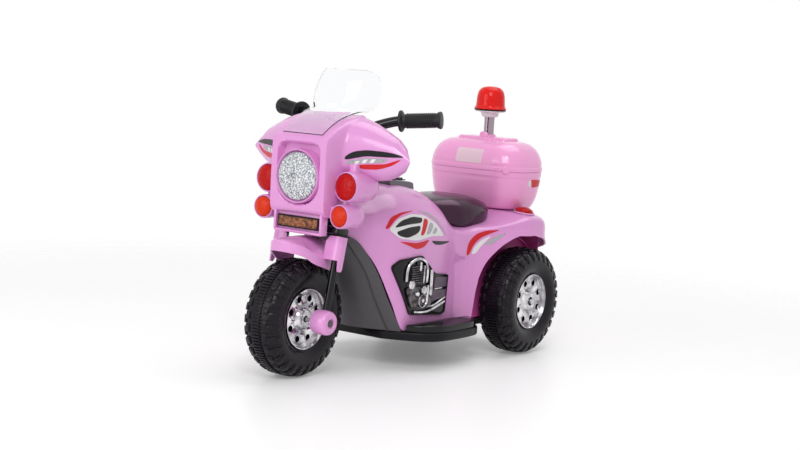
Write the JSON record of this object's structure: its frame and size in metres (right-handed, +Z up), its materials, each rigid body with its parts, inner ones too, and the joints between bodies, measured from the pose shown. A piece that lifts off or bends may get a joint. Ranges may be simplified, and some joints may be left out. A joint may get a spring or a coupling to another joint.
{
  "type": "ride on electric tricycle",
  "caption": "Small battery tricycle for a child in the style of a patrol motorcycle, with a steered fork and fairing, driven rear wheel, saddle, tail box and beacon.",
  "frame": {"origin": "on the floor, under the middle of the bounding box", "axes": "+Z up, the vehicle faces -Y, +X is the rider's left side"},
  "size_m": [0.39, 0.8, 0.5631],
  "materials": {
    "pink_plastic": "glossy moulded plastic",
    "box_pink_plastic": "glossy moulded plastic, a deeper pink",
    "deep_pink_plastic": "satin moulded plastic inside the arches",
    "black_gloss": "glossy black",
    "black_plastic": "satin black",
    "grey_plastic": "satin dark grey",
    "chrome_plastic": "bright plated",
    "steel": "plain turned steel",
    "tyre_plastic": "blow-moulded black plastic",
    "red_lens": "translucent red",
    "amber_lens": "translucent amber",
    "clear_plastic": "clear moulded plastic",
    "white_plastic": "natural nylon",
    "painted_tube": "black enamel"
  },
  "bodies": {
    "chassis": {"body_left_shell": "pink_plastic", "body_right_shell": "pink_plastic", "front_shield": "grey_plastic", "floor_pan": "black_plastic", "steering_frame": "black_plastic", "lower_steering_bush": "white_plastic", "upper_steering_bush": "white_plastic", "rear_cover": "pink_plastic", "seat": "black_gloss", "arch_liner_left": "deep_pink_plastic", "arch_liner_right": "deep_pink_plastic", "engine_panel_left": "black_gloss", "engine_panel_right": "black_gloss", "tail_lamp_left": "red_lens", "tail_lamp_right": "red_lens", "box_base": "box_pink_plastic", "box_hinge_pin": "steel", "rear_axle": "steel", "gearbox_case": "black_plastic", "gearbox_cover": "black_plastic", "motor": "steel", "battery": "grey_plastic", "control_panel": "grey_plastic"},
    "steering": {"fairing": "pink_plastic", "fairing_bracket": "black_plastic", "windshield": "clear_plastic", "headlight_bowl": "pink_plastic", "headlight_lens": "clear_plastic", "red_lens_left": "red_lens", "red_lens_right": "red_lens", "amber_lens_left": "amber_lens", "amber_lens_right": "amber_lens", "number_plate": "black_plastic", "front_fender": "pink_plastic", "fork_stem": "painted_tube", "fork_leg_left": "painted_tube", "fork_leg_right": "painted_tube", "axle_cap_left": "pink_plastic", "axle_cap_right": "pink_plastic", "front_axle": "steel", "handlebar": "painted_tube", "grip_left": "black_plastic", "grip_right": "black_plastic"},
    "front_wheel": {"front_tyre": "tyre_plastic", "front_hubcap_left": "chrome_plastic", "front_hubcap_right": "chrome_plastic"},
    "rear_left_wheel": {"rear_tyre_left": "tyre_plastic", "rear_hubcap_left": "chrome_plastic"},
    "rear_right_wheel": {"rear_tyre_right": "tyre_plastic", "rear_hubcap_right": "chrome_plastic", "output_gear": "white_plastic"},
    "motor_rotor": {"motor_pinion": "steel"},
    "tail_box_lid": {"box_lid": "box_pink_plastic", "beacon_pole": "chrome_plastic", "beacon_collar": "grey_plastic", "beacon_dome": "red_lens"},
    "pedal_lever": {"pedal": "black_plastic"},
    "rocker": {"power_rocker": "red_lens"},
    "horn": {"horn_button": "pink_plastic"},
    "music": {"music_button": "pink_plastic"}
  },
  "joints": [
    {"name": "steer_hinge", "type": "hinge", "parent": "chassis", "child": "steering", "pos_m": [0, -0.292, 0.108], "axis": [0, 0.2079, 0.9781], "range_deg": [-25, 25]},
    {"name": "front_wheel_spin", "type": "hinge", "parent": "steering", "child": "front_wheel", "pos_m": [0, -0.292, 0.108], "axis": [1, 0, 0], "continuous": true},
    {"name": "rear_left_spin", "type": "hinge", "parent": "chassis", "child": "rear_left_wheel", "pos_m": [0.136, 0.266, 0.108], "axis": [1, 0, 0], "continuous": true},
    {"name": "rear_right_spin", "type": "hinge", "parent": "chassis", "child": "rear_right_wheel", "pos_m": [-0.136, 0.266, 0.108], "axis": [1, 0, 0], "continuous": true},
    {"name": "motor_spin", "type": "hinge", "parent": "chassis", "child": "motor_rotor", "pos_m": [-0.059, 0.2351, 0.108], "axis": [1, 0, 0], "continuous": true},
    {"name": "lid_hinge", "type": "hinge", "parent": "chassis", "child": "tail_box_lid", "pos_m": [0, 0.3965, 0.366], "axis": [-1, 0, 0], "range_deg": [0, 80]},
    {"name": "pedal_hinge", "type": "hinge", "parent": "chassis", "child": "pedal_lever", "pos_m": [-0.129, 0.03, 0.0915], "axis": [1, 0, 0], "range_deg": [0, 7], "stiffness_Nm_per_rad": 0.6, "springref_deg": -6.88},
    {"name": "rocker_hinge", "type": "hinge", "parent": "chassis", "child": "rocker", "pos_m": [0, 0.002, 0.348], "axis": [1, 0, 0], "range_deg": [-8, 8]},
    {"name": "horn_press", "type": "slide", "parent": "chassis", "child": "horn", "axis": [0, 0, -1], "range_m": [0, 0.002], "stiffness_N_per_m": 250, "springref_m": -0.0015},
    {"name": "music_press", "type": "slide", "parent": "chassis", "child": "music", "axis": [0, 0, -1], "range_m": [0, 0.002], "stiffness_N_per_m": 250, "springref_m": -0.0015}
  ],
  "couplings": [
    {"joint": "motor_spin", "follows": "rear_right_spin", "ratio": -3.5}
  ]
}
